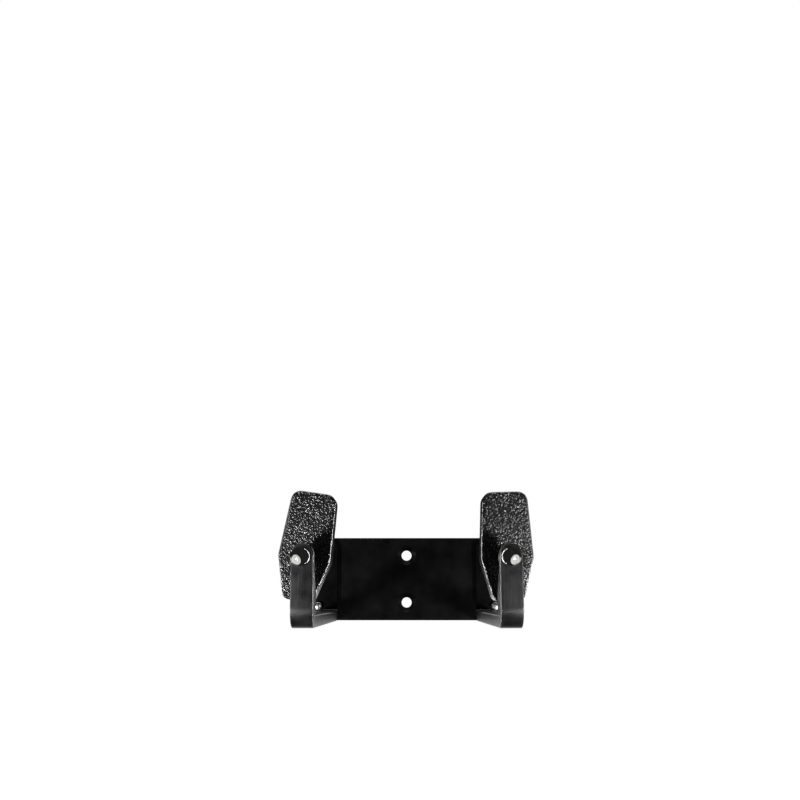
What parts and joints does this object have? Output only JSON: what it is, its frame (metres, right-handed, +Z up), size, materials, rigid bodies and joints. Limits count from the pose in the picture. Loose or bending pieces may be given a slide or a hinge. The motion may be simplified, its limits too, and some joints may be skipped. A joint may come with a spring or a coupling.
{
  "type": "wall guitar hanger",
  "caption": "Wall-mounted guitar hanger: a black wall plate, two bent bar arms and padded leatherette yokes that swivel on domed bolts to cradle a guitar's headstock.",
  "frame": {"origin": "centre of the wall plate's back face, which lies on the wall", "axes": "+Y into the wall, so the arms reach towards -Y; +Z up; +X to the right of someone facing the wall"},
  "size_m": [0.104, 0.1429, 0.0542],
  "materials": {
    "plate_coat": "satin black powder coat",
    "frame_coat": "satin black powder coat",
    "zinc_screw": "bright zinc plate",
    "zinc_hardware": "zinc plate",
    "bolt_chrome": "polished",
    "spring_steel": "rolled spring steel",
    "nylon": "moulded black nylon",
    "leatherette": "black pebble-grain leatherette",
    "foam": "closed-cell foam",
    "plywood": "plain birch plywood",
    "back_board": "black fibre board"
  },
  "bodies": {
    "hanger": {"wall_plate": "plate_coat", "left_foot_plate": "plate_coat", "left_lower_foot_screw": "zinc_screw", "left_upper_foot_screw": "zinc_screw", "left_arm": "frame_coat", "left_gusset": "frame_coat", "left_pivot_bolt": "bolt_chrome", "left_ear_washer": "nylon", "left_spacer": "nylon", "left_wave_washer": "spring_steel", "left_rear_washer": "zinc_hardware", "left_lock_nut": "zinc_hardware", "right_foot_plate": "plate_coat", "right_lower_foot_screw": "zinc_screw", "right_upper_foot_screw": "zinc_screw", "right_arm": "frame_coat", "right_gusset": "frame_coat", "right_pivot_bolt": "bolt_chrome", "right_ear_washer": "nylon", "right_spacer": "nylon", "right_wave_washer": "spring_steel", "right_rear_washer": "zinc_hardware", "right_lock_nut": "zinc_hardware"},
    "left_pad": {"left_pad_cover": "leatherette", "left_pad_foam": "foam", "left_pad_core": "plywood", "left_pad_back_plate": "back_board", "left_bushing": "nylon"},
    "right_pad": {"right_pad_cover": "leatherette", "right_pad_foam": "foam", "right_pad_core": "plywood", "right_pad_back_plate": "back_board", "right_bushing": "nylon"}
  },
  "joints": [
    {"name": "left_pad_swivel", "type": "hinge", "parent": "hanger", "child": "left_pad", "pos_m": [-0.0408, -0.12, 0.0057], "axis": [0, 1, 0], "range_deg": [-140, 125]},
    {"name": "right_pad_swivel", "type": "hinge", "parent": "hanger", "child": "right_pad", "pos_m": [0.0401, -0.12, 0.0057], "axis": [0, 1, 0], "range_deg": [-130, 135]}
  ]
}
